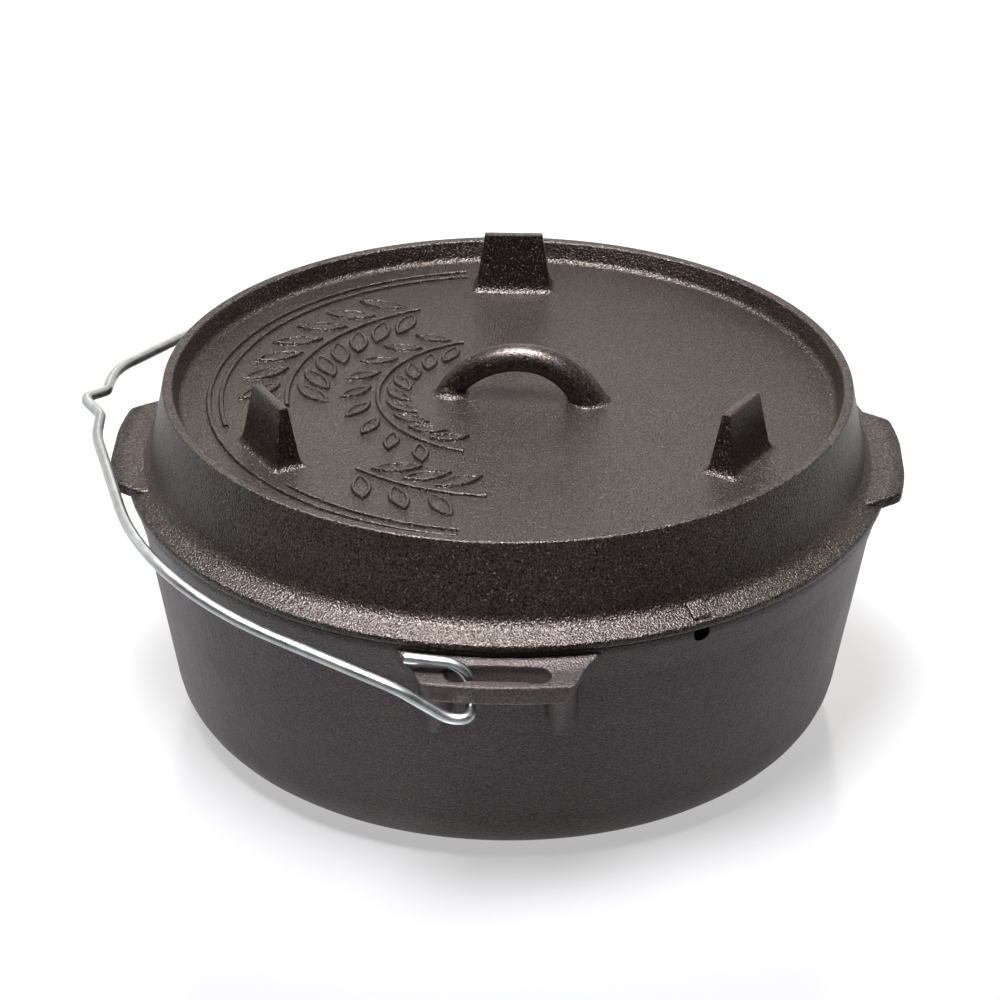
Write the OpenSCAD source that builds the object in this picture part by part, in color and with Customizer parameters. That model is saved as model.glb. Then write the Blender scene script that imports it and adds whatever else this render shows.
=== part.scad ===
// Camp dutch oven: cast pot, cast lid that stands on its own feet, and a bent wire bail.
// Millimetres, +Z up, base of the pot on z = 0, axis of the pot on the Z axis.
// The two ears lie along Y, and the lid's two lugs and its handle along X.

/* [Pot] */
// Height of the pot from its base to the rim that carries the lid
pot_h = 106; // [90:1:140]
// Outer radius of the wall at the rim
pot_top_r = 152.7; // [146:0.1:162]
// Outer radius where the wall would meet the base without its rounding
pot_base_r = 134.5; // [118:0.5:142]
// Thickness of the wall
pot_wall = 5.5; // [4:0.5:8]
// Thickness of the bottom
pot_floor = 6; // [4:0.5:9]
// Outer rounding between wall and base
base_round = 26; // [12:1:32]
// Inner rounding between wall and bottom
inner_round = 20; // [8:1:28]
// Height of the thicker band below the rim
lip_h = 8; // [5:0.5:14]
// How far that band stands out from the wall
lip_out = 1; // [0.5:0.1:2.5]

/* [Thermometer notch] */
// Angle of the notch, from +X
notch_angle = -60; // [-75:1:-50]
// Width of the notch
notch_w = 7; // [5:0.5:10]
// Depth of the notch below the rim
notch_depth = 6; // [4.5:0.5:8]

/* [Ears] */
// Height of the ears' top face
ear_top = 100; // [92:0.5:102]
// Thickness of an ear
ear_t = 7.8; // [6:0.2:11]
// How far an ear stands out from the wall at the rim
ear_out = 17.7; // [16:0.1:22]
// How far an ear's top climbs towards the wall
ear_rise = 4; // [0:0.1:5]
// Half the width of an ear at its outer edge
ear_tip_half = 27.5; // [25:0.5:34]
// Half the width of an ear at the wall
ear_root_half = 37; // [34:0.5:46]
// Length of the slot from end to end
slot_l = 40; // [36:0.5:46]
// Width of the slot
slot_w = 9; // [7.5:0.1:10]
// Thickness of the bar outside the slot
bar_t = 4.4; // [3.5:0.1:7]
// Distance of a rib from the middle of its ear
rib_x = 23.6; // [18:0.1:27]
// Thickness of a rib
rib_d = 13; // [8:0.5:14]
// How far a rib reaches below its ear
rib_drop = 27; // [12:0.5:34]

/* [Lid] */
// How far the rim on top of the lid lies inside the pot's wall at the rim
lid_inset = 12.7; // [10.7:0.1:24.7]
// Height of that rim above the pot's rim
lid_rim_h = 39.3; // [30:0.1:50]
// Width of the rim's top face
rim_land = 4; // [3:0.5:6]
// Depth of the tray inside the rim
tray_depth = 8.6; // [5:0.1:14]
// Thickness of the lid's plate
plate_t = 5.4; // [4:0.2:8]
// How far the skirt flares between rim and flange
skirt_flare = 6.2; // [2:0.1:8]
// Thickness of the skirt
skirt_t = 5.2; // [4:0.2:7]
// How far the flange reaches over the pot's rim band
flange_over = 1.9; // [0.5:0.1:4]
// Thickness of the flange at its edge
flange_edge = 3.4; // [2.5:0.1:5]
// How much the flange rises from its edge to the skirt
flange_rise = 4; // [1.5:0.1:5]
// Rounding between flange and skirt
cove_r = 8; // [4:0.5:10]
// Depth of the locating ring below the pot's rim
ring_depth = 3; // [2:0.5:5]
// Clearance between the locating ring and the pot
ring_gap = 0.8; // [0.4:0.1:1.5]

/* [Lid lugs] */
// How far a lug reaches past the flange
lug_out = 6.8; // [3:0.1:10]
// Height of the lugs' tops above the flange's edge
lug_lift = 3; // [1:0.1:4]
// Half the width of a lug at its outer edge
lug_tip_half = 31; // [24:0.5:40]
// Half the width of a lug at the flange
lug_root_half = 38; // [30:0.5:46]
// Thickness of a lug
lug_t = 5; // [3:0.2:7]
// Rounding of a lug's corners
lug_round = 12; // [3:0.5:14]
// Width of the mark above the notch
mark_w = 7; // [5:0.5:10]
// Length of that mark, outwards from the skirt
mark_l = 6.5; // [4:0.5:9]
// Height of that mark above the flange's edge
mark_rise = 3.2; // [1:0.1:4]

/* [Lid feet] */
// Number of feet
foot_count = 3; // [3:1:4]
// Distance of the feet from the outside of the lid's rim
foot_inset = 33.5; // [28:0.5:60]
// Height of the feet above the plate
foot_h = 24.8; // [18:0.2:34]
// Width of a foot at its top
foot_top_w = 25; // [16:0.5:30]
// Width of a foot at the plate
foot_base_w = 32; // [24:0.5:40]
// Thickness of a foot at its top
foot_top_t = 4; // [3:0.5:8]
// Thickness of a foot at the plate
foot_base_t = 12; // [9:0.5:18]
// Rounding between a foot and the plate
foot_cove = 3; // [1:0.5:5]

/* [Lid handle] */
// Thickness of the handle's bar
handle_d = 11.6; // [8:0.2:15]
// Height of the handle's top above the plate
handle_h = 23.2; // [22:0.1:34]
// Distance between the middles of the handle's ends on the plate
handle_span = 58; // [48:1:80]
// Rounding where the handle meets the plate
handle_cove = 4; // [2:0.5:6]
// How far the handle sits from the lid's middle, along X
handle_off = 5.5; // [0:0.5:8]
// Angle by which the handle is turned from X
handle_turn = -5; // [-10:1:10]

/* [Bail] */
// Diameter of the wire
wire_d = 4.4; // [3.5:0.1:5.5]
// Clearance between the wire and the casting at rest
wire_gap = 0.3; // [0.3:0.1:1]
// Room between the hook's lower run and the ear at rest
hook_gap = 1.3; // [0.4:0.1:3]
// Distance of the pivot from the middle of the slot
pivot_off = 10; // [8:0.5:12]
// Angle at which the bail lies above the level
bail_rise = 13; // [8:0.5:20]
// Room between the middle of the bail and the lid's lug, seen from above
bail_room = 0.6; // [0.5:0.1:25]
// Height of the bail's plane above the pivot
leg_lift = 6.3; // [4:0.1:9]
// How far the bump in the middle stands out
kink_out = 8.5; // [6:0.5:18]
// Half the width of that bump
kink_half = 11; // [9:0.5:18]
// Half the width of the bail's flat middle
crown_half = 30; // [24:1:60]
// How far the ends of the flat middle lie behind it
crown_drop = 0.6; // [0.5:0.1:6]
// Bending radius at the ends of the flat middle
crown_bend = 50; // [20:1:60]
// How far the front shoulder's corner lies behind the middle
front_shoulder_drop = 32; // [28:1:60]
// How far the front shoulder's corner lies inside the leg
front_shoulder_in = 37; // [25:1:45]
// How far the back shoulder's corner lies behind the middle
back_shoulder_drop = 62; // [28:1:66]
// How far the back shoulder's corner lies inside the leg
back_shoulder_in = 32; // [25:1:45]
// Bending radius of the shoulders
shoulder_bend = 110; // [60:1:115]
// Bending radius of the bump
small_bend = 5.5; // [5:0.5:7]
// Bending radius of the hook's turns
hook_bend = 5.5; // [3.6:0.1:6.4]
// Length of the hook's tail
tail_l = 25; // [20:0.5:26]
// Angle of the tail towards the pot
tail_turn = 5; // [0:1:6]
// Angle by which the tail climbs to its end
tail_climb = 3.5; // [0:0.5:5]

/* [Hidden] */
$fn = 96;
// Steps of a rounded corner
arc_steps = 6;
// How far a cut runs past the face that it opens
eps = 1;

// Slope of the pot's wall, and the wall's outer radius at a height
wall_slope = (pot_top_r - pot_base_r) / pot_h;
function wall_r(z) = pot_base_r + wall_slope * z;
rim_in_r = pot_top_r - pot_wall;
lip_r = pot_top_r + lip_out;
// Height over which the rim's band swells out, and the rounding there
lip_slope = 2.5;
lip_blend = 4;
// Rounding of cast edges
edge_round = 0.8;

// Ears
ear_r = pot_top_r + ear_out;
ear_bottom = ear_top - ear_t;
// Radius where an ear starts to narrow, and the rounding there
ear_flare_r = pot_top_r - 4;
ear_round = 6;
slot_out_r = ear_r - bar_t;
slot_mid_r = slot_out_r - slot_w / 2;

// Lid
lid_rim_r = pot_top_r - lid_inset;
flange_r = lip_r + flange_over;
flange_top = pot_h + flange_edge;
skirt_low_z = flange_top + flange_rise;
skirt_low_r = lid_rim_r + skirt_flare;
lid_top = pot_h + lid_rim_h;
plate_top = lid_top - tray_depth;
plate_under = plate_top - plate_t;
// Roundings of the rim's top and of the tray's edge, and the draft of the rim's inner side
rim_round = 1.4;
tray_round = 3;
tray_draft = 2.6;
tray_r = lid_rim_r - rim_land - tray_draft;
ring_r = rim_in_r - ring_gap;
under_low_r = skirt_low_r - skirt_t;
under_top_r = lid_rim_r - skirt_t;
lug_top = flange_top + lug_lift;
lug_reach = flange_r + lug_out;
foot_pitch_r = lid_rim_r - foot_inset;
handle_axis_h = handle_h - handle_d / 2;
handle_foot_r = handle_d / 2 + handle_cove + edge_round;

// Bail
wire_r = wire_d / 2;
// Faces round the wire
wire_sides = 12;
// Share of the hook's bend that has to stay outside the ear while the bail swings
hook_tuck = 0.2;
// Straight stub left between two bends
stub = 0.2;
pivot_z = ear_bottom - hook_gap - wire_r;
leg_y = ear_r + wire_gap + wire_r + hook_bend * hook_tuck;
// The tail lies on the ear's sloping top
ear_slope = atan2(ear_rise, ear_out);
tail_z = ear_top + (ear_r - slot_mid_r) * tan(ear_slope) + wire_gap + wire_r / cos(ear_slope);
// Reach of the bail from its pivot to its middle, along its own plane
bail_reach = (lug_reach + bail_room + wire_r - pivot_off) / cos(bail_rise);
tail_bend = tail_z - pivot_z - hook_bend - stub;
// Where the wire starts to climb from the hook, where it joins the plane, and both bends there
drop_start = 8;
drop_end = 28;
drop_bend = 20;

function unit(v) = v / norm(v);

// Points of the corner b between a and c, rounded by radius r
function corner(a, b, c, r) =
    let (u = unit(a - b), v = unit(c - b), half = acos(max(-1, min(1, u * v))) / 2)
    r <= 0 || half > 89.9 ? [b] :
    let (reach = r / tan(half), mid = b + unit(u + v) * (r / sin(half)))
    let (p = b + u * reach - mid, q = b + v * reach - mid, turn = 180 - 2 * half)
    [for (i = [0 : arc_steps])
        mid + (p * sin(turn * (1 - i / arc_steps)) + q * sin(turn * i / arc_steps)) / sin(turn)];

// Outline through points [x, y, rounding]
function rounded(pts) =
    let (n = len(pts), at = [for (p = pts) [p[0], p[1]]])
    [for (i = [0 : n - 1]) each corner(at[(i + n - 1) % n], at[i], at[(i + 1) % n], pts[i][2])];

module turned(pts) {
    rotate_extrude() polygon(rounded(pts));
}

// Straight rod between two points
module rod(a, b, d) {
    v = b - a;
    translate(a)
        rotate([0, acos(v.z / norm(v)), atan2(v.y, v.x)])
            cylinder(h = norm(v), d = d);
}

// Middle line of a bar through points [point, bending radius]; a bend takes no more than its stretches hold
function bar_line(route) =
    let (n = len(route), at = [for (p = route) p[0]])
    let (long = [for (i = [0 : n - 2]) norm(at[i + 1] - at[i])])
    let (dir = [for (i = [0 : n - 2]) (at[i + 1] - at[i]) / long[i]])
    let (turn = [for (i = [0 : n - 1]) i == 0 || i == n - 1 ? 0 : tan(acos(dir[i - 1] * dir[i]) / 2)])
    let (wish = [for (i = [0 : n - 1]) route[i][1] * turn[i]])
    let (fit = [for (i = [0 : n - 2]) min(1, (long[i] - stub) / max(stub, wish[i] + wish[i + 1]))])
    [for (i = [0 : n - 1])
        each i == 0 || i == n - 1 ? [at[i]] :
            corner(at[i - 1], at[i], at[i + 1], route[i][1] * min(fit[i - 1], fit[i]))];

// Round bar swept along a line of points
module swept_bar(line, d, sides) {
    last = len(line) - 1;
    along = [for (i = [0 : last]) unit(line[min(i + 1, last)] - line[max(i - 1, 0)])];
    side = [for (t = along) unit(cross(t, [1, 1, 1]))];
    rings = [for (i = [0 : last]) each [for (k = [0 : sides - 1])
        let (a = 360 * k / sides)
        line[i] + (side[i] * cos(a) + cross(along[i], side[i]) * sin(a)) * d / 2]];
    skin = [for (i = [0 : last - 1]) each [for (k = [0 : sides - 1])
        let (a = i * sides + k, b = i * sides + (k + 1) % sides)
        each [[a, a + sides, b], [b, a + sides, b + sides]]]];
    polyhedron(
        points = rings,
        faces = concat(
            [[for (k = [0 : sides - 1]) k]],
            skin,
            [[for (k = [0 : sides - 1]) last * sides + sides - 1 - k]]),
        convexity = 10);
}

module ear_plate() {
    reach = ear_r + 2 * eps;
    intersection() {
        turned([
            [pot_base_r, ear_bottom, 0],
            [ear_r, ear_bottom, edge_round],
            [ear_r, ear_top, edge_round],
            [pot_top_r, ear_top + ear_rise, 0],
            [pot_base_r, ear_top + ear_rise, 0]]);
        translate([0, 0, ear_bottom - eps])
            linear_extrude(ear_t + ear_rise + 2 * eps)
                polygon(rounded([
                    [-ear_root_half, -pot_base_r, 0],
                    [-ear_root_half, -ear_flare_r, ear_round],
                    [-ear_tip_half, -reach, 0],
                    [ear_tip_half, -reach, 0],
                    [ear_root_half, -ear_flare_r, ear_round],
                    [ear_root_half, -pot_base_r, 0]]));
    }
}

// Sloping round rib from the ear down to the wall
module ear_rib() {
    foot_z = ear_bottom - rib_drop;
    foot_r = wall_r(foot_z) - rib_d / 2;
    head_r = wall_r(ear_bottom) + rib_d / 4;
    rod([0, -foot_r, foot_z + rib_d / 4], [0, -head_r, ear_bottom + ear_t / 2], rib_d);
}

module slot_cut() {
    run = slot_l / 2 - slot_w / 2;
    translate([0, -slot_mid_r, ear_bottom - eps])
        linear_extrude(ear_t + ear_rise + 2 * eps) {
            for (s = [-1, 1]) translate([s * run, 0]) circle(d = slot_w);
            square([2 * run, slot_w], center = true);
        }
}

// Round-ended way through the pot's rim
module notch_cut() {
    low = pot_h - notch_depth + notch_w / 2;
    rotate([0, 0, notch_angle])
        translate([rim_in_r - eps, 0, 0]) {
            translate([0, 0, low]) rotate([0, 90, 0]) cylinder(h = pot_wall + lip_out + 3 * eps, d = notch_w);
            translate([0, -notch_w / 2, low]) cube([pot_wall + lip_out + 3 * eps, notch_w, notch_depth]);
        }
}

module pot() {
    color("#3a3432")
        difference() {
            union() {
                turned([
                    [0, 0, 0],
                    [pot_base_r, 0, base_round],
                    [wall_r(pot_h - lip_h), pot_h - lip_h, lip_blend],
                    [lip_r, pot_h - lip_h + lip_slope, lip_blend / 2],
                    [lip_r, pot_h, edge_round],
                    [0, pot_h, 0]]);
                for (side = [0, 180])
                    rotate([0, 0, side]) {
                        ear_plate();
                        for (s = [-1, 1]) translate([s * rib_x, 0, 0]) ear_rib();
                    }
            }
            turned([
                [0, pot_floor, 0],
                [wall_r(pot_floor) - pot_wall, pot_floor, inner_round],
                [rim_in_r, pot_h, 0],
                [rim_in_r, pot_h + eps, 0],
                [0, pot_h + eps, 0]]);
            for (side = [0, 180]) rotate([0, 0, side]) slot_cut();
            notch_cut();
        }
}

// Foot that tapers both ways, with a cove round its base
module lid_foot() {
    sink = plate_t / 2;
    intersection() {
        rotate([90, 0, 0])
            linear_extrude(2 * foot_base_w, center = true)
                foot_side(foot_top_t, foot_base_t, sink);
        rotate([90, 0, 90])
            linear_extrude(2 * foot_base_w, center = true)
                foot_side(foot_top_w, foot_base_w, sink);
    }
}

module foot_side(top, base, sink) {
    wide = base / 2 + foot_cove;
    polygon(rounded([
        [-wide, -sink, 0],
        [-wide, 0, 0],
        [-base / 2, 0, foot_cove],
        [-top / 2, foot_h, edge_round],
        [top / 2, foot_h, edge_round],
        [base / 2, 0, foot_cove],
        [wide, 0, 0],
        [wide, -sink, 0]]));
}

// Arch of one round sweep, with a flared end on each side
module lid_handle() {
    end_x = handle_span / 2;
    arch_r = (end_x * end_x + handle_axis_h * handle_axis_h) / (2 * handle_axis_h);
    arch_low = arch_r - handle_axis_h;
    half = acos((arch_low - plate_t / 2) / arch_r);
    translate([0, 0, -arch_low])
        rotate([90, 0, 0])
            rotate([0, 0, 90 - half])
                rotate_extrude(angle = 2 * half) translate([arch_r, 0]) circle(d = handle_d);
    for (s = [-1, 1])
        translate([s * end_x, 0, 0])
            turned([
                [0, -plate_t / 2, 0],
                [handle_foot_r, -plate_t / 2, 0],
                [handle_foot_r, 0, 0],
                [handle_foot_r - handle_cove, 0, handle_cove / 2],
                [handle_foot_r - handle_cove, handle_cove, 0],
                [0, handle_cove, 0]]);
}

module lid_lug() {
    translate([0, 0, lug_top - lug_t])
        linear_extrude(lug_t)
            intersection() {
                difference() {
                    circle(r = lug_reach);
                    circle(r = skirt_low_r - skirt_t / 2);
                }
                polygon(rounded([
                    [0, -lug_root_half, 0],
                    [skirt_low_r, -lug_root_half, 0],
                    [lug_reach, -lug_tip_half, lug_round],
                    [lug_reach, lug_tip_half, lug_round],
                    [skirt_low_r, lug_root_half, 0],
                    [0, lug_root_half, 0]]));
            }
}

// Raised mark on the flange, above the pot's notch
module notch_mark() {
    rotate([0, 0, notch_angle])
        translate([skirt_low_r, -mark_w / 2, pot_h + flange_edge / 2])
            cube([mark_l, mark_w, flange_edge / 2 + mark_rise]);
}

module lid() {
    color("#3d3735")
        difference() {
            union() {
                turned([
                    [0, plate_under, 0],
                    [under_top_r, plate_under, cove_r],
                    [under_low_r, pot_h, 0],
                    [under_low_r, pot_h - ring_depth, edge_round],
                    [ring_r, pot_h - ring_depth, edge_round],
                    [ring_r, pot_h, 0],
                    [flange_r, pot_h, edge_round],
                    [flange_r, flange_top, edge_round],
                    [skirt_low_r, skirt_low_z, cove_r],
                    [lid_rim_r, lid_top, rim_round],
                    [lid_rim_r - rim_land, lid_top, rim_round],
                    [tray_r, plate_top, tray_round],
                    [0, plate_top, 0]]);
                for (i = [0 : foot_count - 1])
                    rotate([0, 0, 90 + i * 360 / foot_count])
                        translate([foot_pitch_r, 0, plate_top]) lid_foot();
                translate([handle_off, 0, plate_top]) rotate([0, 0, handle_turn]) lid_handle();
                for (side = [0, 180]) rotate([0, 0, side]) lid_lug();
                notch_mark();
            }
            ring_gap_cut();
        }
}

// Way through the locating ring at the notch
module ring_gap_cut() {
    rotate([0, 0, notch_angle])
        translate([under_low_r - 3 * eps, -notch_w / 2 - eps, pot_h - ring_depth - eps])
            cube([ring_r - under_low_r + 4 * eps, notch_w + 2 * eps, ring_depth + eps]);
}

// Point of the bail's plane at distance s from the pivot and at width y
function bail_at(s, y) =
    [-pivot_off - s * cos(bail_rise), y, pivot_z + leg_lift + s * sin(bail_rise)];

// Half of the bail from the tail of one hook to the bump, on the side that s names
function bail_half(s, shoulder_drop, shoulder_in) =
    let (tail_y = slot_mid_r - tail_l * sin(tail_turn), tail_top = tail_z + tail_l * sin(tail_climb))
    [
        [[-pivot_off - tail_l * cos(tail_turn), s * tail_y, tail_top], 0],
        [[-pivot_off, s * slot_mid_r, tail_z], tail_bend],
        [[-pivot_off, s * slot_mid_r, pivot_z], hook_bend],
        [[-pivot_off, s * leg_y, pivot_z], hook_bend],
        [[-pivot_off - drop_start, s * leg_y, pivot_z], drop_bend],
        [bail_at(drop_end, s * leg_y), drop_bend],
        [bail_at(bail_reach - shoulder_drop, s * (leg_y - shoulder_in)), shoulder_bend],
        [bail_at(bail_reach - crown_drop, s * crown_half), crown_bend],
        [bail_at(bail_reach, s * kink_half), small_bend]
    ];

module bail() {
    front = bail_half(-1, front_shoulder_drop, front_shoulder_in);
    back = bail_half(1, back_shoulder_drop, back_shoulder_in);
    last = len(back) - 1;
    color("#c9cdd0")
        swept_bar(bar_line(concat(
            front,
            [[bail_at(bail_reach + kink_out, 0), small_bend]],
            [for (i = [0 : last]) back[last - i]])), wire_d, wire_sides);
}

pot();
lid();
bail();
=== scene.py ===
import math

import bpy
from mathutils import Matrix, Vector


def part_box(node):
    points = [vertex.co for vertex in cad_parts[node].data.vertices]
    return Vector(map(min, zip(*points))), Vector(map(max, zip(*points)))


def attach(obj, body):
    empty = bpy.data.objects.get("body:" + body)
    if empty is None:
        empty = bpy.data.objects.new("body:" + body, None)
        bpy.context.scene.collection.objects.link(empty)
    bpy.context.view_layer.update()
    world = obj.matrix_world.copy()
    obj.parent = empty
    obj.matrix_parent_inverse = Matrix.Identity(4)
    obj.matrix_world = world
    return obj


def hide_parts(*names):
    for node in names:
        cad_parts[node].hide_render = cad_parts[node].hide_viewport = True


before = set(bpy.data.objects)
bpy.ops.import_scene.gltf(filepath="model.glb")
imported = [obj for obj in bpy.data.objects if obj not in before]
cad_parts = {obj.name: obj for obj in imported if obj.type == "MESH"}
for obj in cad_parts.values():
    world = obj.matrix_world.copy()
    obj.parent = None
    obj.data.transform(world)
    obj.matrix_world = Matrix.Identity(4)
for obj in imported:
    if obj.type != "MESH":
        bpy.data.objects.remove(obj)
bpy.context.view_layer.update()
print("frame loaded:", ", ".join(sorted(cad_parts)))

# The pieces are modelled in millimetres and brought to metres when they are finished
mm = 0.001
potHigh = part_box("pot")[1] / mm
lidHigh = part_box("lid")[1] / mm
rimZ = potHigh.z  # the pot's rim, which carries the lid
bandR = potHigh.x  # outside of the thicker band at the rim
earR = potHigh.y  # outer edge of the ears
lugR = lidHigh.x  # outer edge of the lid's lugs
footZ = lidHigh.z  # tops of the lid's feet


# Small tools

def only(piece):
    bpy.ops.object.select_all(action="DESELECT")
    piece.select_set(True)
    bpy.context.view_layer.objects.active = piece


def openEdit(piece):
    only(piece)
    bpy.ops.object.mode_set(mode="EDIT")
    bpy.ops.mesh.select_mode(type="VERT")
    bpy.ops.mesh.select_all(action="SELECT")


def closeEdit():
    bpy.ops.object.mode_set(mode="OBJECT")


def cleanUp(piece, gap=0.001):
    openEdit(piece)
    bpy.ops.mesh.remove_doubles(threshold=gap)
    bpy.ops.mesh.delete_loose(use_edges=True, use_faces=False)
    bpy.ops.mesh.select_all(action="SELECT")
    bpy.ops.mesh.normals_make_consistent(inside=False)
    closeEdit()


def modify(piece, kind, **settings):
    only(piece)
    step = piece.modifiers.new(kind.title(), kind)
    for name, value in settings.items():
        setattr(step, name, value)
    bpy.ops.object.modifier_apply(modifier=step.name)


def roundedPath(points, steps=6, closed=False):
    # points are (Vector, rounding), and each inner corner becomes an arc
    nearlyStraight = math.radians(89.5)
    path = []
    count = len(points)
    for i, (here, radius) in enumerate(points):
        if radius <= 0 or (not closed and i in (0, count - 1)):
            path.append(here.copy())
            continue
        toLast = (points[i - 1][0] - here).normalized()
        toNext = (points[(i + 1) % count][0] - here).normalized()
        half = toLast.angle(toNext) / 2
        if half > nearlyStraight:
            path.append(here.copy())
            continue
        reach = radius / math.tan(half)
        middle = here + (toLast + toNext).normalized() * (radius / math.sin(half))
        start = here + toLast * reach - middle
        end = here + toNext * reach - middle
        turn = math.pi - 2 * half
        for k in range(steps + 1):
            t = k / steps * turn
            path.append(middle + (start * math.sin(turn - t) + end * math.sin(t)) / math.sin(turn))
    return path


def section(points, steps=6, closed=False):
    # (radius, height, rounding) in the plane of the turning axis
    return roundedPath([(Vector((r, 0, z)), bend) for r, z, bend in points], steps, closed)


def flatOutline(points, steps=8):
    # closed outline through (x, y, rounding)
    return roundedPath([(Vector((x, y, 0)), bend) for x, y, bend in points], steps, closed=True)


def unitBlock(bend):
    # square of size 1 with rounded corners
    return flatOutline([(x / 2, y / 2, bend) for x, y in ((1, 1), (-1, 1), (-1, -1), (1, -1))], steps=4)


def outlineFace(name, points, filled=True):
    # a circle with as many points as the outline, pulled to the outline's shape
    bpy.ops.object.select_all(action="DESELECT")
    bpy.ops.mesh.primitive_circle_add(vertices=len(points), fill_type="NGON" if filled else "NOTHING")
    piece = bpy.context.object
    piece.name = name
    for vertex, at in zip(piece.data.vertices, points):
        vertex.co = at
    return piece


def turned(name, outline, sides, start=0.0, turn=math.tau):
    whole = turn >= math.tau - 1e-6
    facing = Matrix.Rotation(start, 3, "Z")
    piece = outlineFace(name, [facing @ point for point in outline], filled=not whole)
    openEdit(piece)
    # spin counts its angle clockwise
    bpy.ops.mesh.spin(steps=sides, angle=-turn, center=(0, 0, 0), axis=(0, 0, 1), use_auto_merge=whole)
    closeEdit()
    cleanUp(piece)
    return piece


def stacked(name, outline, layers):
    # the same outline drawn up through layers of (x size, y size, height)
    wide, deep, low = layers[0]
    piece = outlineFace(name, [Vector((p.x * wide, p.y * deep, low)) for p in outline])
    openEdit(piece)
    for nextWide, nextDeep, high in layers[1:]:
        bpy.ops.mesh.extrude_region_move(TRANSFORM_OT_translate={"value": (0, 0, high - low)})
        bpy.ops.transform.resize(value=(nextWide / wide, nextDeep / deep, 1), center_override=(0, 0, high))
        wide, deep, low = nextWide, nextDeep, high
    closeEdit()
    cleanUp(piece)
    return piece


def raised(name, outline, low, high):
    # flat outline drawn up from one height to another
    return stacked(name, outline, [(1, 1, low), (1, 1, high)])


def rod(name, start, end, thick, sides=32):
    bpy.ops.object.select_all(action="DESELECT")
    run = end - start
    turn = run.to_track_quat("Z", "Y").to_euler()
    bpy.ops.mesh.primitive_cylinder_add(
        vertices=sides, radius=thick / 2, depth=run.length, location=(start + end) / 2, rotation=turn)
    piece = bpy.context.object
    piece.name = name
    bpy.ops.object.transform_apply(location=True, rotation=True, scale=True)
    return piece


def place(piece, at=(0, 0, 0), turn=0.0):
    only(piece)
    piece.location = at
    piece.rotation_euler.z = turn
    bpy.ops.object.transform_apply(location=True, rotation=True, scale=True)
    return piece


def copyOf(piece, name, at=(0, 0, 0), turn=0.0):
    only(piece)
    bpy.ops.object.duplicate()
    twin = bpy.context.object
    twin.name = name
    return place(twin, at, turn)


def joined(pieces):
    only(pieces[0])
    for piece in pieces:
        piece.select_set(True)
    bpy.ops.object.join()
    return bpy.context.object


def combine(host, tool, how="UNION"):
    modify(host, "BOOLEAN", object=tool, operation=how, solver="EXACT")
    bpy.data.objects.remove(tool)
    return host


def softCast(piece, grain, rounds):
    # runs the pieces of a block together and rounds its edges, as sand and paint on a pattern do
    modify(piece, "REMESH", mode="VOXEL", voxel_size=grain)
    modify(piece, "SMOOTH", factor=0.5, iterations=rounds)
    return piece


def finishPiece(piece, node, material, angle=35):
    only(piece)
    piece.scale = (mm, mm, mm)
    bpy.ops.object.transform_apply(location=True, rotation=True, scale=True)
    bpy.ops.object.shade_smooth_by_angle(angle=math.radians(angle))
    modify(piece, "WEIGHTED_NORMAL", keep_sharp=True, weight=80)
    piece.data.materials.clear()
    piece.data.materials.append(material)
    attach(piece, node)
    print(piece.name, "has", len(piece.data.polygons), "faces")
    return piece


# Node helpers

def newNode(tree, kind, **settings):
    node = tree.nodes.new(kind)
    for name, value in settings.items():
        setattr(node, name, value)
    return node


def feed(tree, socket, value):
    # a socket takes a plain value or what another node gives
    if isinstance(value, bpy.types.NodeSocket):
        tree.links.new(value, socket)
    else:
        socket.default_value = value


def feedAll(tree, node, **values):
    # input names are written without their spaces
    for socket in node.inputs:
        name = socket.name.replace(" ", "")
        if name in values:
            feed(tree, socket, values.pop(name))


def noise(tree, where, scale, detail=2.0, roughness=0.5):
    node = newNode(tree, "ShaderNodeTexNoise")
    feedAll(tree, node, Vector=where, Scale=scale, Detail=detail, Roughness=roughness)
    return node.outputs["Fac"]


def remap(tree, value, span, result=(0.0, 1.0)):
    node = newNode(tree, "ShaderNodeMapRange", clamp=True)
    feedAll(tree, node, Value=value, FromMin=span[0], FromMax=span[1], ToMin=result[0], ToMax=result[1])
    return node.outputs["Result"]


def sums(tree, how, *values):
    node = newNode(tree, "ShaderNodeMath", operation=how)
    for socket, value in zip(node.inputs, values):
        feed(tree, socket, value)
    return node.outputs["Value"]


def colourMix(tree, share, first, second):
    node = newNode(tree, "ShaderNodeMix", data_type="RGBA")
    for name, value in (("Factor", share), ("A", first), ("B", second)):
        feed(tree, node.inputs[name], value)
    return node.outputs["Result"]


def coordinates(tree, kind):
    return newNode(tree, "ShaderNodeTexCoord").outputs[kind]


def split(tree, where):
    # X, Y and Z of a place
    node = newNode(tree, "ShaderNodeSeparateXYZ")
    feedAll(tree, node, Vector=where)
    return node.outputs


def bumped(tree, height, strength, depth):
    node = newNode(tree, "ShaderNodeBump")
    feedAll(tree, node, Height=height, Strength=strength, Distance=depth)
    return node.outputs["Normal"]


def newMaterial(name):
    material = bpy.data.materials.new(name)
    material.use_nodes = True
    return material, material.node_tree, material.node_tree.nodes["Principled BSDF"]


# Sand-cast skin, shared by both castings

skinLook = dict(
    grainShare=0.6, peelShare=0.4, grainSpan=(0.32, 0.68), fleckScale=1500.0, fleckDetail=1.0,
    fleckSpan=(0.63, 0.73), patchScale=22.0, patchDetail=4.0, patchRoughness=0.6, patchSpan=(0.35, 0.65))


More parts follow.
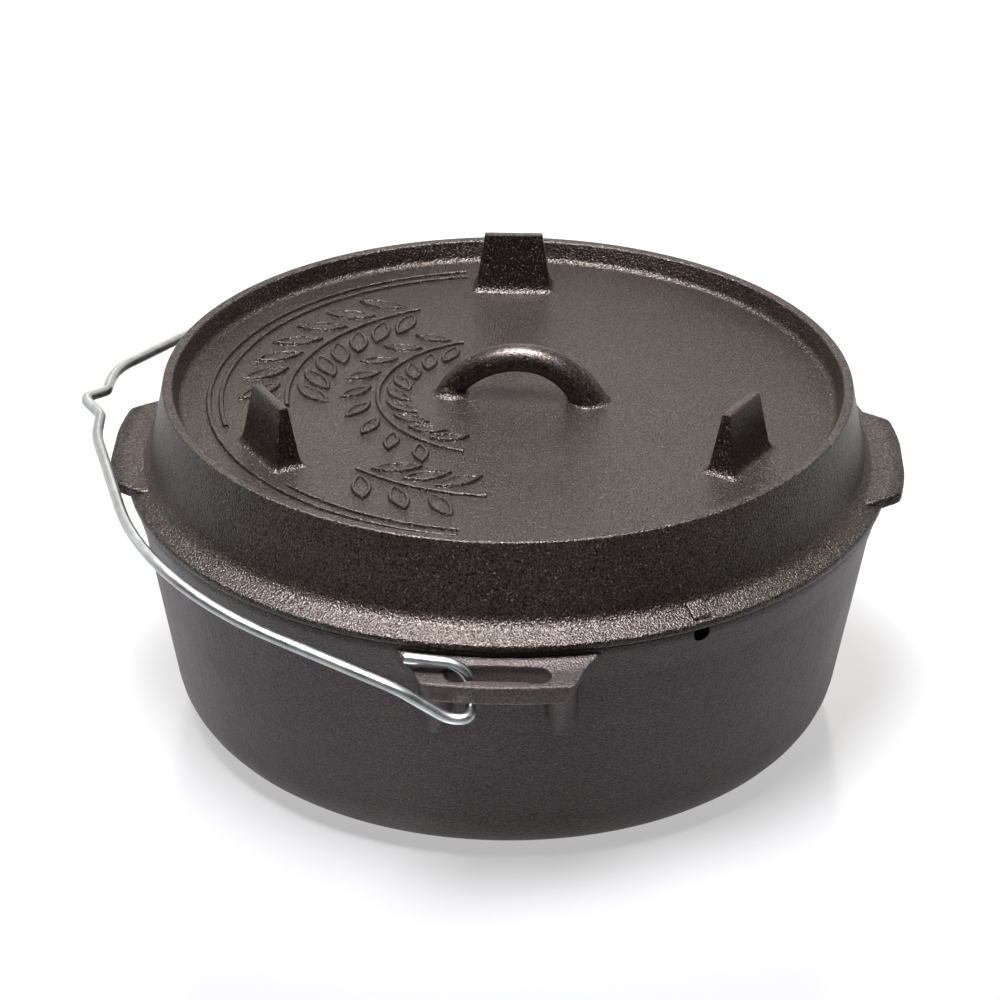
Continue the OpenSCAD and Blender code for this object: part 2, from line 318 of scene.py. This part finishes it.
def castSkinGroup():
    s = skinLook
    tree = bpy.data.node_groups.new("castSkin", "ShaderNodeTree")
    for name in ("Grain Size", "Orange Peel"):
        tree.interface.new_socket(name, in_out="INPUT", socket_type="NodeSocketFloat")
    tree.interface.new_socket("Place", in_out="INPUT", socket_type="NodeSocketVector")
    for name in ("Height", "Grain", "Fleck", "Patch"):
        tree.interface.new_socket(name, in_out="OUTPUT", socket_type="NodeSocketFloat")
    given = newNode(tree, "NodeGroupInput").outputs
    where = given["Place"]
    grain = noise(tree, where, sums(tree, "DIVIDE", 1.0, given["Grain Size"]))
    peel = noise(tree, where, sums(tree, "DIVIDE", 1.0, given["Orange Peel"]))
    flecks = noise(tree, where, s["fleckScale"], s["fleckDetail"])
    patches = noise(tree, where, s["patchScale"], s["patchDetail"], s["patchRoughness"])
    height = sums(tree, "ADD", sums(tree, "MULTIPLY", grain, s["grainShare"]),
                  sums(tree, "MULTIPLY", peel, s["peelShare"]))
    feedAll(tree, newNode(tree, "NodeGroupOutput"), Height=height, Grain=remap(tree, grain, s["grainSpan"]),
            Fleck=remap(tree, flecks, s["fleckSpan"]), Patch=remap(tree, patches, s["patchSpan"]))
    return tree


castSkin = castSkinGroup()

# Radii and heights here are in metres. Ears and lugs lie beyond outerR, and outerZ parts their faces from
# their tops.
# outerShine is painted light: it weakens the sheen on those tops as painted shade and, on the pot,
# strengthens it on the ears' front faces as a painted highlight. The lid's handle and feet lie inside wornR
# and above wornZ.
ironLook = dict(
    dark=(0.0009, 0.0005, 0.0004, 1), light=(0.0018, 0.001, 0.0008, 1), fleckColour=(0.12, 0.11, 0.1, 1),
    fleck=0.4, grainSize=0.0008, peelSize=0.0045, rough=(0.33, 0.4), fleckGloss=0.06, sheen=(0.1, 0.66),
    tint=(1, 0.84, 0.78, 1), bump=0.75, bumpDepth=0.0012, outerR=(0.156, 0.158), outerRough=0.03,
    outerZ=(0.0985, 0.0998), outerShine=(1.0, 0.6))
potLook = dict(
    ironLook, dark=(0.0086, 0.0065, 0.0067, 1), light=(0.0116, 0.0088, 0.009, 1), fleck=0.15,
    rough=(0.42, 0.5), sheen=(0.24, 0.62), tint=(1, 0.86, 0.86, 1), bump=0.62, outerRough=0.0,
    outerShine=(1.35, 0.6))
lidLook = dict(ironLook, wornR=(0.1217, 0.1257), wornZ=(0.1385, 0.1445), wornBump=0.16)


def ironMaterial(name, look):
    material, tree, shader = newMaterial(name)
    where = coordinates(tree, "Object")
    skin = newNode(tree, "ShaderNodeGroup", node_tree=castSkin)
    feedAll(tree, skin, Place=where, GrainSize=look["grainSize"], OrangePeel=look["peelSize"])
    fleck, patch = skin.outputs["Fleck"], skin.outputs["Patch"]

    tone = colourMix(tree, patch, look["dark"], look["light"])
    # light flecks in the base colour are painted glints; the roughness below also makes the same flecks
    # glossier
    tone = colourMix(tree, sums(tree, "MULTIPLY", fleck, look["fleck"]), tone, look["fleckColour"])

    x, y, z = split(tree, where)
    radius = sums(tree, "SQRT", sums(tree, "ADD", sums(tree, "MULTIPLY", x, x), sums(tree, "MULTIPLY", y, y)))
    beyond = remap(tree, radius, look["outerR"])
    rough = remap(tree, patch, (0.0, 1.0), look["rough"])
    rough = sums(tree, "ADD", rough, sums(tree, "MULTIPLY", beyond, look["outerRough"]))
    rough = sums(tree, "SUBTRACT", rough, sums(tree, "MULTIPLY", fleck, look["fleckGloss"]))

    # the grain's hollows hold back the sheen; the tops of ears and lugs get a weaker sheen as painted shade,
    # and the front faces of the pot's ears a stronger one as a painted highlight
    sheen = remap(tree, skin.outputs["Grain"], (0.0, 1.0), look["sheen"])
    outer = remap(tree, z, look["outerZ"], look["outerShine"])
    paintedShineShift = sums(tree, "MULTIPLY", beyond, sums(tree, "SUBTRACT", outer, 1.0))
    sheen = sums(tree, "MULTIPLY", sheen, sums(tree, "ADD", paintedShineShift, 1.0))

    strength = look["bump"]
    if "wornBump" in look:
        # what stands up inside the rim is smoother
        outside = remap(tree, radius, look["wornR"])
        below = remap(tree, z, look["wornZ"], (1.0, 0.0))
        unworn = sums(tree, "MAXIMUM", outside, below)
        strength = remap(tree, unworn, (0.0, 1.0), (look["wornBump"], look["bump"]))
    normal = bumped(tree, skin.outputs["Height"], strength, look["bumpDepth"])
    feedAll(tree, shader, BaseColor=tone, Roughness=rough, SpecularIORLevel=sheen, SpecularTint=look["tint"],
            Normal=normal)
    return material


wireLook = dict(
    dark=(0.34, 0.359, 0.363, 1), light=(0.44, 0.461, 0.465, 1), spangleScale=160.0, streakScale=45.0,
    toneSpan=(0.38, 0.58), roughSpan=(0.3, 0.7), rough=(0.27, 0.34), bump=0.06, bumpDepth=0.0003)


def wireMaterial(name, look):
    material, tree, shader = newMaterial(name)
    where = coordinates(tree, "Object")
    spangle = noise(tree, where, look["spangleScale"])
    streak = noise(tree, where, look["streakScale"])
    mean = sums(tree, "MULTIPLY", sums(tree, "ADD", spangle, streak), 0.5)
    tone = colourMix(tree, remap(tree, mean, look["toneSpan"]), look["dark"], look["light"])
    rough = remap(tree, spangle, look["roughSpan"], look["rough"])
    normal = bumped(tree, spangle, look["bump"], look["bumpDepth"])
    feedAll(tree, shader, BaseColor=tone, Roughness=rough, Metallic=1.0, Normal=normal)
    return material


potIron = ironMaterial("pot_iron", potLook)
lidIron = ironMaterial("lid_iron", lidLook)
wireMetal = wireMaterial("bail_wire", wireLook)
print("materials made")

# Pot

potCast = dict(
    topR=bandR - 1, baseR=134.5, wall=5.5, floor=6, baseRound=26, innerRound=20, bandHeight=16, bandSlope=13,
    bandLowRound=30, bandHighRound=9, edge=1.1, sides=256)
notchCut = dict(angle=math.radians(-60), wide=7, deep=6, past=3)


def wallR(z):
    return potCast["baseR"] + (potCast["topR"] - potCast["baseR"]) * z / rimZ


def makePotBody():
    p = potCast
    low = rimZ - p["bandHeight"]
    outline = section([
        (0, 0, 0), (p["baseR"], 0, p["baseRound"]),
        (wallR(low), low, p["bandLowRound"]), (bandR, low + p["bandSlope"], p["bandHighRound"]),
        (bandR, rimZ, p["edge"]), (p["topR"] - p["wall"], rimZ, p["edge"]),
        (wallR(p["floor"]) - p["wall"], p["floor"], p["innerRound"]), (0, p["floor"], 0)], steps=9)
    return turned("potCasting", outline, p["sides"])


# Section: lip is the upright front edge, shelf the level run behind it, and climb the rise to the wall.
# Plan: tip, neck, root and core run from the outer edge to well inside the wall.
earCast = dict(
    top=100, thick=7.8, lowBack=0.5, lowRound=1.2, lip=3.0, lipBack=0.3, lipRound=0.6, edge=0.9,
    shelf=10, shelfRise=1.3, shelfRound=8, climb=4, climbRound=1.5,
    tipHalf=27.6, tipPast=1.6, neckHalf=33, neckY=157, flareRound=20, rootHalf=41.5, rootY=145, coreHalf=44.5,
    coreY=120, lowShare=0.84, slotLong=40, slotWide=9, slotBack=0.7, slotSlack=0.05, bar=4.4,
    ribX=23.6, ribThick=13, ribDrop=27, patchSide=26, patchShare=0.9, patchLow=50, patchHigh=104.5,
    patchSink=4, patchSides=48, sink=3, skin=0.15, sides=64, grain=0.5, rounds=9)


def earPlate(bottom, high):
    e = earCast
    root = wallR(bottom) - e["sink"]
    edge = section([
        (root, bottom, 0), (earR - e["lowBack"], bottom, e["lowRound"]),
        (earR, e["top"] - e["lip"], e["lipRound"]), (earR - e["lipBack"], e["top"], e["edge"]),
        (earR - e["shelf"], e["top"] + e["shelfRise"], e["shelfRound"]),
        (bandR - e["skin"], high, e["climbRound"]), (root, high, 0)], steps=4)
    half = math.radians(e["patchSide"])
    plate = turned("ear", edge, e["sides"], start=-math.pi / 2 - half, turn=2 * half)
    # sides that narrow outwards and downwards and sweep into the wall
    right = [(e["tipHalf"], -earR - e["tipPast"], 0), (e["neckHalf"], -e["neckY"], e["flareRound"]),
             (e["rootHalf"], -e["rootY"], 0), (e["coreHalf"], -e["coreY"], 0)]
    left = [(-x, y, bend) for x, y, bend in reversed(right)]
    layers = [(e["lowShare"], 1, bottom - 1), (1, 1, e["top"]), (1, 1, high + 2)]
    combine(plate, stacked("earSides", flatOutline(right + left), layers), "INTERSECT")
    middle = earR - e["bar"] - e["slotWide"] / 2
    end, front = e["slotLong"] / 2, -e["slotWide"] / 2
    back = e["slotWide"] / 2 - e["slotBack"]
    bend = (e["slotWide"] - e["slotBack"]) / 2 - e["slotSlack"]
    slot = flatOutline([(x, y, bend) for x, y in ((end, back), (-end, back), (-end, front), (end, front))])
    slotCut = place(raised("earSlot", slot, bottom - 2, high + 2), at=(0, -middle, 0))
    return combine(plate, slotCut, "DIFFERENCE")


def earRib(sideX, bottom):
    # sloping round rib with a ball on its foot
    e = earCast
    low = bottom - e["ribDrop"]
    foot = Vector((sideX * e["ribX"], -wallR(low) + e["ribThick"] / 2, low + e["ribThick"] / 4))
    head = Vector((sideX * e["ribX"], -wallR(bottom) - e["ribThick"] / 4, bottom + e["thick"] / 2))
    bar = rod("rib", foot, head, e["ribThick"])
    bpy.ops.object.select_all(action="DESELECT")
    bpy.ops.mesh.primitive_uv_sphere_add(segments=32, ring_count=16, radius=e["ribThick"] / 2, location=foot)
    return [bar, bpy.context.object]


def wallPatch():
    # piece of wall that the ear and its ribs run into
    e = earCast
    low, high = e["patchLow"], e["patchHigh"]
    outline = section([
        (wallR(low) - e["patchSink"], low, 0), (wallR(low) - e["skin"], low, 0),
        (wallR(high) - e["skin"], high, 0), (wallR(high) - e["patchSink"], high, 0)])
    half = math.radians(e["patchSide"])
    return turned("wallPatch", outline, e["patchSides"], start=-math.pi / 2 - half * e["patchShare"],
                  turn=2 * half * e["patchShare"])


def makeEar():
    e = earCast
    bottom = e["top"] - e["thick"]
    plate = earPlate(bottom, e["top"] + e["climb"])
    ribs = earRib(-1, bottom) + earRib(1, bottom)
    block = softCast(joined([plate, wallPatch()] + ribs), e["grain"], e["rounds"])
    # nothing of it reaches through the wall
    low, high = e["patchLow"] - 10, rimZ + 5
    inside = section([
        (0, low, 0), (wallR(low) - e["sink"], low, 0), (wallR(high) - e["sink"], high, 0), (0, high, 0)])
    return combine(block, turned("inside", inside, potCast["sides"]), "DIFFERENCE")


def cutNotch(pot):
    n = notchCut
    inner = potCast["topR"] - potCast["wall"] - n["past"]
    low = Vector((0, 0, rimZ - n["deep"] + n["wide"] / 2))
    out = Vector((math.cos(n["angle"]), math.sin(n["angle"]), 0))
    cutter = rod("notch", out * inner + low, out * (bandR + n["past"]) + low, n["wide"])
    # its upper half is drawn up through the rim
    for vertex in cutter.data.vertices:
        if vertex.co.z > low.z + 0.01:
            vertex.co.z += n["deep"]
    combine(pot, cutter, "DIFFERENCE")


pot = makePotBody()
frontEar = makeEar()
backEar = copyOf(frontEar, "backEar", turn=math.pi)
combine(pot, frontEar)
combine(pot, backEar)
cutNotch(pot)
finishPiece(pot, "pot", potIron)
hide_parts("pot")

# Lid

lidCast = dict(
    rimR=140, rimTop=145.3, land=4, rimOutRound=0.9, rimInRound=1.1, trayDepth=8.6, plate=5.4,
    plateRings=(128, 60), trayDraft=2.6, trayRound=3, skirtFlare=6.2, skirt=5.2, cove=7,
    flangeOver=1.9, flangeEdge=3.4, flangeRise=4, flangeLowRound=1.9, flangeHighRound=1.5,
    ringDepth=3, ringGap=0.8, ringEdge=0.8, ringRoot=0.6, sides=256)

plateTop = lidCast["rimTop"] - lidCast["trayDepth"]
flangeTop = rimZ + lidCast["flangeEdge"]
skirtLowZ = flangeTop + lidCast["flangeRise"]
skirtLowR = lidCast["rimR"] + lidCast["skirtFlare"]
flangeR = bandR + lidCast["flangeOver"]


def makeLidBody():
    p = lidCast
    under = plateTop - p["plate"]
    ringZ = rimZ - p["ringDepth"]
    ringR = potCast["topR"] - potCast["wall"] - p["ringGap"]
    trayTopR = p["rimR"] - p["land"]
    outline = section([
        (0, under, 0), (p["rimR"] - p["skirt"], under, p["cove"]),
        (skirtLowR - p["skirt"], ringZ, p["ringEdge"]),
        (ringR, ringZ, p["ringEdge"]), (ringR, rimZ, p["ringRoot"]),
        (flangeR, rimZ, p["flangeLowRound"]), (flangeR, flangeTop, p["flangeHighRound"]),
        (skirtLowR, skirtLowZ, p["cove"]), (p["rimR"], p["rimTop"], p["rimOutRound"]),
        (trayTopR, p["rimTop"], p["rimInRound"]), (trayTopR - p["trayDraft"], plateTop, p["trayRound"]),
        *((ring, plateTop, 0) for ring in p["plateRings"]), (0, plateTop, 0)], steps=8)
    return turned("lidCasting", outline, p["sides"])


footCast = dict(
    radius=106.5, topWide=25, topThick=4, baseWide=32, baseThick=12, levels=(0.14, 0.55, 1.0), cove=2.5,
    coveSteps=6, sink=0.06, edge=0.9, cornerRound=0.08, count=3)


def makeFoot():
    f = footCast
    edge = f["edge"]
    layers = []
    for k in range(f["coveSteps"]):
        sweep = math.pi / 2 * k / f["coveSteps"]
        out = f["cove"] * (1 - math.sin(sweep)) * 2
        up = f["cove"] * (1 - math.cos(sweep))
        layers.append((f["baseWide"] + out, f["baseThick"] + out, plateTop - f["sink"] + up))
    for share in f["levels"]:
        wide = f["baseWide"] + (f["topWide"] - f["baseWide"]) * share
        thick = f["baseThick"] + (f["topThick"] - f["baseThick"]) * share
        layers.append((wide, thick, plateTop + (footZ - plateTop - edge) * share))
    # rounded top edge, as shares of its size
    for inset, down in ((0.6, 0.3), (2, 0)):
        layers.append((f["topWide"] - edge * inset, f["topThick"] - edge * inset, footZ - edge * down))
    return stacked("foot", unitBlock(f["cornerRound"]), layers)


handleCast = dict(
    thick=11.6, high=23.2, span=58, off=5.5, turn=math.radians(-5), leftEnd=-0.2, rightEnd=0.42,
    swellPower=2.5, leftFlare=7.9, rightFlare=9.5, flareOut=6, flareSink=2, flareIn=2, flareRound=3,
    flareHigh=3, flareNeck=0.6, flareSides=40, skin=0.15, barSides=28, archSides=72, grain=0.7, rounds=6)


def handleFlare(spread):
    # round foot of the handle, which runs out just under the plate's surface
    h = handleCast
    low, level, high = plateTop - h["flareSink"], plateTop - h["skin"], plateTop + h["flareHigh"]
    return turned("flare", section([
        (0, low, 0), (spread + h["flareOut"], low, 0), (spread + h["flareOut"], level, 0),
        (spread - h["flareIn"], level, h["flareRound"]), (h["thick"] / 2 - h["flareNeck"], high, 0),
        (0, high, 0)], steps=5), h["flareSides"])


def makeHandle():
    h = handleCast
    half = h["span"] / 2
    bar = h["thick"] / 2
    axisHigh = h["high"] - bar
    archR = (half ** 2 + axisHigh ** 2) / (2 * axisHigh)
    low = archR - axisHigh
    sweep = math.acos((low - lidCast["plate"] / 2) / archR)
    angles = [math.tau * k / h["barSides"] for k in range(h["barSides"])]
    ring = [Vector((archR + bar * math.cos(a), 0, bar * math.sin(a))) for a in angles]
    arch = turned("arch", ring, h["archSides"], start=math.pi / 2 - sweep, turn=2 * sweep)
    only(arch)
    arch.rotation_euler.x = math.pi / 2
    arch.location.z = plateTop - low
    bpy.ops.object.transform_apply(location=True, rotation=True, scale=True)
    # the bar swells towards its right end and slims towards its left
    centre = Vector((0, 0, plateTop - low))
    for vertex in arch.data.vertices:
        spoke = (vertex.co - centre) * Vector((1, 0, 1))
        share = max(-1.0, min(1.0, spoke.x / half))
        swell = 1 + (h["rightEnd"] if share > 0 else h["leftEnd"]) * abs(share) ** h["swellPower"]
        outer = centre + spoke.normalized() * (archR + bar)
        vertex.co = outer + (vertex.co - outer) * swell
    left = place(handleFlare(h["leftFlare"]), at=(-half, 0, 0))
    right = place(handleFlare(h["rightFlare"]), at=(half, 0, 0))
    handle = softCast(joined([arch, left, right]), h["grain"], h["rounds"])
    return place(handle, at=(h["off"], 0, 0), turn=h["turn"])


lugCast = dict(
    tipHalf=31, tipRound=14, tipBack=0.5, rootHalf=42, rootRound=6, coreHalf=44, coreX=120, lift=3, thick=5,
    sink=3, lowRound=1.2, topRound=1.4, side=math.radians(22), sides=64, grain=0.9, rounds=4)


def makeLug():
    g = lugCast
    top = flangeTop + g["lift"]
    low = top - g["thick"]
    edge = section([(skirtLowR - g["sink"], low, 0), (lugR, low, g["lowRound"]), (lugR, top, g["topRound"]),
                    (skirtLowR - g["sink"], top, 0)], steps=4)
    lug = turned("lug", edge, g["sides"], start=-g["side"], turn=2 * g["side"])
    far = [(g["coreX"], g["coreHalf"], 0), (skirtLowR, g["rootHalf"], g["rootRound"]),
           (lugR - g["tipBack"], g["tipHalf"], g["tipRound"])]
    near = [(x, -y, bend) for x, y, bend in far]
    sides = flatOutline(near + list(reversed(far)))
    combine(lug, raised("lugSides", sides, low - 2, top + 2), "INTERSECT")
    return softCast(lug, g["grain"], g["rounds"])


# Layers are what the mark gains in length and width, and how far each lies below its top
markCast = dict(
    wide=7.4, long=6.6, rise=5.5, fall=0.52, bed=1, out=1, cornerRound=0.14, foot=(1.6, 1.2),
    layers=((0.8, 0.4, 1.2), (0.2, -0.2, 0.4), (-1, -1.4, 0)))


def makeMark():
    m = markCast
    low = rimZ + m["bed"]
    top = flangeTop + m["rise"]
    layers = [(m["long"] + m["foot"][0], m["wide"] + m["foot"][1], low)]
    layers += [(m["long"] + longer, m["wide"] + wider, top - down) for longer, wider, down in m["layers"]]
    mark = stacked("mark", unitBlock(m["cornerRound"]), layers)
    # its top falls outwards with the flange
    for vertex in mark.data.vertices:
        if vertex.co.z > low + 0.1:
            vertex.co.z -= (vertex.co.x + m["long"] / 2) * m["fall"]
    place(mark, at=(skirtLowR + m["out"] + m["long"] / 2, 0, 0))
    return place(mark, turn=notchCut["angle"])


# Lines are (radius, first angle, last angle), and sprigs add (step, leaf length, leaf width)
reliefCast = dict(
    sink=0.4, high=1.15, dip=0.6, rim=1.1, tilt=math.radians(45), away=2.0, awayShare=0.2, firstLeaf=0.3,
    leafPoints=10, leafFull=0.85,
    sprigs=((90, 116, 188, 9.5, 21, 7.8), (88, 229, 266, 10, 20, 7.8), (53, 112, 252, 14.5, 16, 6.4)),
    lines=((116.5, 100, 196), (116.5, 224, 262), (121.5, 100, 262)), lineWide=1.5, lineRound=0.5)


def makeLeaf(long, wide):
    c = reliefCast
    shares = [k / (c["leafPoints"] - 1) for k in range(c["leafPoints"])]
    upper = [Vector((0.5 - t, 0.5 * math.sin(math.pi * t) ** c["leafFull"], 0)) for t in shares]
    lower = [Vector((-point.x, -point.y, 0)) for point in upper[1:-1]]
    top = plateTop + c["high"]
    # (inset, height) from the plate over the raised edge and down into the hollow middle
    steps = ((-1.2, plateTop - c["sink"]), (-0.3, plateTop + 0.25), (0, top - 0.3), (0.5, top),
             (2 * c["rim"], top), (2 * c["rim"] + 0.8, top - c["dip"]))
    return stacked("leaf", upper + lower, [(long - inset * 1.6, wide - inset, z) for inset, z in steps])


def arcLine(radius, first, last):
    c = reliefCast
    half, bend = c["lineWide"] / 2, c["lineRound"]
    low, high = plateTop - c["sink"], plateTop + c["high"]
    edge = section([
        (radius - half - bend, low, 0), (radius + half + bend, low, 0),
        (radius + half, high, bend), (radius - half, high, bend)], steps=3, closed=True)
    return turned("line", edge, int(last - first), start=math.radians(first), turn=math.radians(last - first))


def makeRelief():
    # leaf sprigs and edge lines, raised a little above the plate
    c = reliefCast
    pieces = [arcLine(*line) for line in c["lines"]]
    for radius, first, last, step, long, wide in c["sprigs"]:
        pieces.append(arcLine(radius, first, last))
        leaf = makeLeaf(long, wide)
        for k in range(int((last - first) / step)):
            angle = math.radians(first + (k + c["firstLeaf"]) * step)
            for side in (-1, 1):
                aim = angle + math.pi / 2 + side * c["tilt"]
                stemR = radius - side * (c["away"] + wide * c["awayShare"])
                stem = Vector((math.cos(angle), math.sin(angle), 0)) * stemR
                at = stem + Vector((math.cos(aim), math.sin(aim), 0)) * long / 2
                pieces.append(copyOf(leaf, "leaf", at=at, turn=aim))
        bpy.data.objects.remove(leaf)
    return joined(pieces)


lid = makeLidBody()
combine(lid, makeRelief())
foot = place(makeFoot(), turn=math.pi / 2)
place(foot, at=(footCast["radius"], 0, 0))
for i in range(footCast["count"]):
    combine(lid, copyOf(foot, "foot", turn=math.pi / 2 + math.tau * i / footCast["count"]))
bpy.data.objects.remove(foot)
combine(lid, makeHandle())
lug = makeLug()
combine(lid, copyOf(lug, "backLug", turn=math.pi))
combine(lid, lug)
combine(lid, makeMark())
finishPiece(lid, "lid", lidIron)
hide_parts("lid")

# Bail

# Shoulders are how far each lies behind the middle and inside the leg
bailWire = dict(
    thick=4.4, gap=0.3, hookGap=1.3, pivotX=-10, rise=math.radians(13), lift=6.3, room=0.6, kinkOut=8.5,
    kinkHalf=11, crownHalf=30, crownDrop=0.6, crownBend=50, frontShoulder=(32, 37), backShoulder=(62, 32),
    shoulderBend=110, smallBend=5.5, hookBend=5.5, tuck=0.2, tail=25, tailTurn=math.radians(5),
    tailClimb=math.radians(3.5), dropStart=8, dropEnd=28, dropBend=20, stub=0.2, bendSteps=14, roundness=7)


def bailRoute():
    b = bailWire
    half = b["thick"] / 2
    pivotX = b["pivotX"]
    pivotZ = earCast["top"] - earCast["thick"] - b["hookGap"] - half
    slotY = earR - earCast["bar"] - earCast["slotWide"] / 2
    slope = math.atan2(earCast["climb"], earR - potCast["topR"])
    tailX = pivotX - b["tail"] * math.cos(b["tailTurn"])
    tailY = slotY - b["tail"] * math.sin(b["tailTurn"])
    tailZ = earCast["top"] + (earR - slotY) * math.tan(slope) + b["gap"] + half / math.cos(slope)
    tailEndZ = tailZ + b["tail"] * math.sin(b["tailClimb"])
    legY = earR + b["gap"] + half + b["hookBend"] * b["tuck"]
    reach = (lugR + b["room"] + half + pivotX) / math.cos(b["rise"])

    def onPlane(s, y):
        return Vector((pivotX - s * math.cos(b["rise"]), y, pivotZ + b["lift"] + s * math.sin(b["rise"])))

    def side(s, shoulder):
        behind, inside = shoulder
        return [
            (Vector((tailX, s * tailY, tailEndZ)), 0),
            (Vector((pivotX, s * slotY, tailZ)), tailZ - pivotZ - b["hookBend"] - b["stub"]),
            (Vector((pivotX, s * slotY, pivotZ)), b["hookBend"]),
            (Vector((pivotX, s * legY, pivotZ)), b["hookBend"]),
            (Vector((pivotX - b["dropStart"], s * legY, pivotZ)), b["dropBend"]),
            (onPlane(b["dropEnd"], s * legY), b["dropBend"]),
            (onPlane(reach - behind, s * (legY - inside)), b["shoulderBend"]),
            (onPlane(reach - b["crownDrop"], s * b["crownHalf"]), b["crownBend"]),
            (onPlane(reach, s * b["kinkHalf"]), b["smallBend"])]

    front = side(-1, b["frontShoulder"])
    back = side(1, b["backShoulder"])
    return front + [(onPlane(reach + b["kinkOut"], 0), b["smallBend"])] + list(reversed(back))


def fitted(route, stub):
    # a bend takes no more than its two stretches hold
    places = [point for point, bend in route]
    count = len(places)
    lengths = [(places[i + 1] - places[i]).length for i in range(count - 1)]
    wish = [0.0] * count
    for i in range(1, count - 1):
        turn = (places[i] - places[i - 1]).angle(places[i + 1] - places[i])
        wish[i] = route[i][1] * math.tan(turn / 2)
    share = [min(1.0, (lengths[i] - stub) / max(stub, wish[i] + wish[i + 1])) for i in range(count - 1)]
    return [(point, 0 if i in (0, count - 1) else bend * min(share[i - 1], share[i]))
            for i, (point, bend) in enumerate(route)]


def makeBail():
    b = bailWire
    path = roundedPath(fitted(bailRoute(), b["stub"]), b["bendSteps"])
    bpy.ops.object.select_all(action="DESELECT")
    bpy.ops.curve.primitive_nurbs_path_add()
    piece = bpy.context.object
    piece.name = "bailWire"
    curve = piece.data
    curve.twist_mode = "MINIMUM"
    line = curve.splines[0]
    line.type = "POLY"
    line.points.add(len(path) - len(line.points))
    for point, at in zip(line.points, path):
        point.co = (at.x, at.y, at.z, 1)
    curve.bevel_depth = b["thick"] / 2
    curve.bevel_resolution = b["roundness"]
    curve.use_fill_caps = True
    bpy.ops.object.convert(target="MESH")
    piece = bpy.context.object
    cleanUp(piece)
    return piece


bail = makeBail()
finishPiece(bail, "bail", wireMetal, angle=50)
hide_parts("bail")

# Studio

# Spans with Y or X in their names are places or directions over which a brightness changes
studio = dict(
    floorSize=12.0, floorColour=(0.1, 0.1, 0.105, 1), floorRough=0.15, floorSheen=0.5, floorY=(-0.3, 0.7),
    floorGlow=(0.37, 0.93), roomColour=(1, 0.94, 0.91, 1), roomY=(-0.25, 0.6), roomGlow=(0.12, 2.15),
    roomX=(0.06, 0.14), sideShare=(1.0, 0.45), lightAim=(0, 0, 0.1),
    lights=(
        ("topLight", (-0.13, -0.25, 1.35), (0.7, 0.75), 16, 50),
        ("leftLight", (-1.5, 0.3, 0.7), (0.7, 1.2), 2, 180),
        ("rightLight", (1.5, 0.3, 0.7), (0.7, 1.2), 1, 180)),
    camDistance=1.34977, camHeight=0.8077, pitch=0.4895, yaw=-0.0022, roll=0.0058, turn=math.radians(1.1),
    lens=133.2, sensor=36)


def makeFloor():
    s = studio
    bpy.ops.object.select_all(action="DESELECT")
    bpy.ops.mesh.primitive_plane_add(size=s["floorSize"])
    floor = bpy.context.object
    floor.name = "floor"
    material, tree, shader = newMaterial("glowingFloor")
    # the floor gives off painted light of its own: a glow that is dimmer in front, as painted shade, and
    # brighter towards the back
    y = split(tree, coordinates(tree, "Object"))["Y"]
    glow = remap(tree, y, s["floorY"], s["floorGlow"])
    feedAll(tree, shader, BaseColor=s["floorColour"], Roughness=s["floorRough"],
            SpecularIORLevel=s["floorSheen"], EmissionColor=(1, 1, 1, 1), EmissionStrength=glow)
    floor.data.materials.append(material)


def makeWorld():
    s = studio
    world = bpy.data.worlds.new("studio")
    world.use_nodes = True
    tree = world.node_tree
    # a dim room in front and a lit paper sweep behind, brightest in its middle
    towards = split(tree, coordinates(tree, "Generated"))
    ahead = remap(tree, towards["Y"], s["roomY"], s["roomGlow"])
    aside = remap(tree, sums(tree, "ABSOLUTE", towards["X"]), s["roomX"], s["sideShare"])
    glow = sums(tree, "MULTIPLY", ahead, aside)
    feedAll(tree, tree.nodes["Background"], Color=s["roomColour"], Strength=glow)
    bpy.context.scene.world = world


def makeCamera():
    s = studio
    sinPitch, cosPitch = math.sin(s["pitch"]), math.cos(s["pitch"])
    sinYaw, cosYaw = math.sin(s["yaw"]), math.cos(s["yaw"])
    right = Vector((cosYaw, -sinYaw, 0))
    up = Vector((sinPitch * sinYaw, sinPitch * cosYaw, cosPitch))
    ahead = Vector((cosPitch * sinYaw, cosPitch * cosYaw, -sinPitch))
    across = right * math.cos(s["roll"]) + up * math.sin(s["roll"])
    upright = up * math.cos(s["roll"]) - right * math.sin(s["roll"])
    stand = Matrix((across, upright, -ahead)).transposed().to_4x4()
    stand.translation = (0, -s["camDistance"], s["camHeight"])
    data = bpy.data.cameras.new("camera")
    data.lens = s["lens"]
    data.sensor_width = s["sensor"]
    camera = bpy.data.objects.new("camera", data)
    bpy.context.scene.collection.objects.link(camera)
    camera.matrix_world = Matrix.Rotation(s["turn"], 4, "Z") @ stand
    bpy.context.scene.camera = camera


def softBox(name, at, size, power, spread):
    light = bpy.data.lights.new(name, "AREA")
    light.shape = "RECTANGLE"
    light.size, light.size_y = size
    light.energy = power
    light.spread = math.radians(spread)
    lamp = bpy.data.objects.new(name, light)
    lamp.location = at
    lamp.rotation_euler = (Vector(studio["lightAim"]) - Vector(at)).to_track_quat("-Z", "Y").to_euler()
    bpy.context.scene.collection.objects.link(lamp)


makeFloor()
makeWorld()
makeCamera()
for lightSettings in studio["lights"]:
    softBox(*lightSettings)
bpy.context.scene.view_settings.view_transform = "Standard"
print("studio ready")
